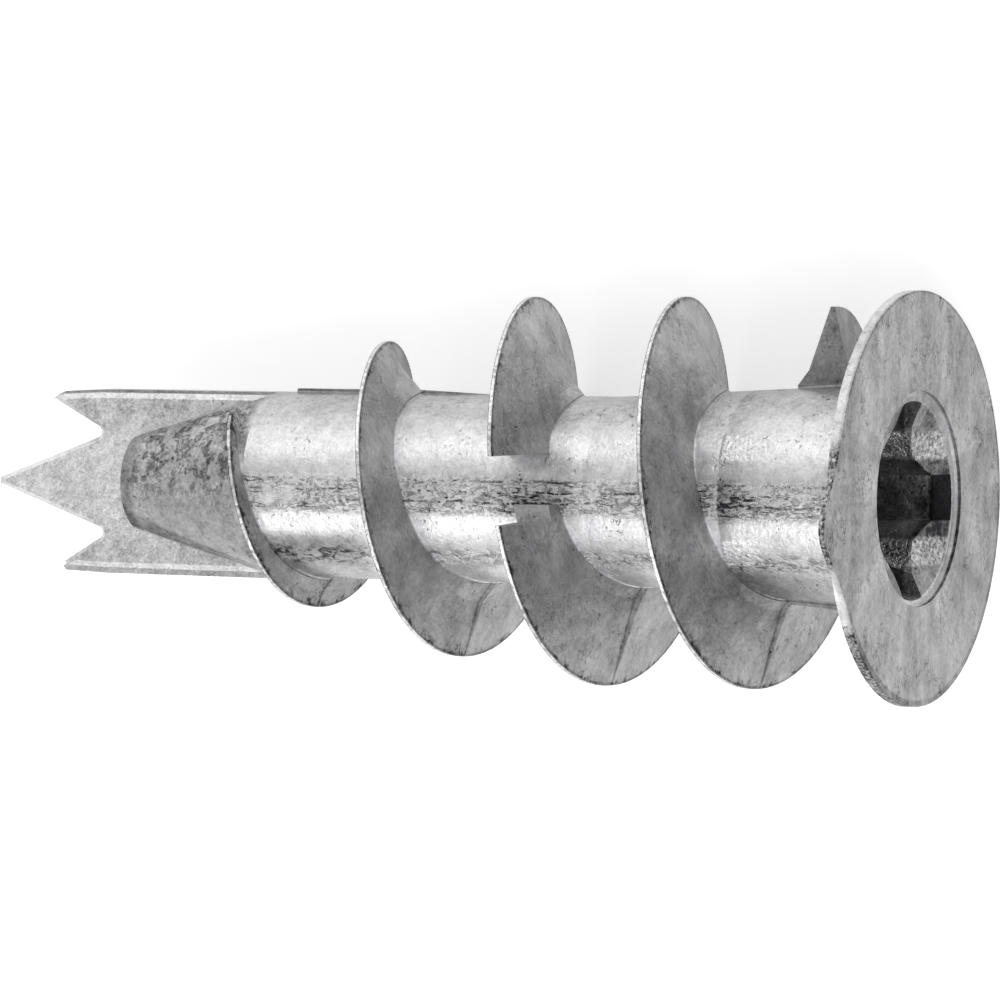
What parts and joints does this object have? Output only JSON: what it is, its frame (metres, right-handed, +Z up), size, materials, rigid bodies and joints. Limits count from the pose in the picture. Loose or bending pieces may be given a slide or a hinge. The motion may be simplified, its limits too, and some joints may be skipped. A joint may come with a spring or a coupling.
{
  "type": "plasterboard anchor",
  "caption": "Self-drilling plasterboard anchor: zinc die casting with a coarse thread, flat pronged drill blade, flange, cross recess and a bore that takes a wood screw.",
  "frame": {"origin": "centre of the bounding box, at the surface the anchor lies on", "axes": "+Z up as the anchor lies on its thread; +X along the anchor from the drill blade towards the flange, which is lifted 4.6 degrees"},
  "size_m": [0.0312, 0.0126, 0.014],
  "materials": {
    "zinc_alloy": "as cast, burnished on the shank"
  },
  "bodies": {
    "root": {"anchor": "zinc_alloy"}
  },
  "joints": []
}
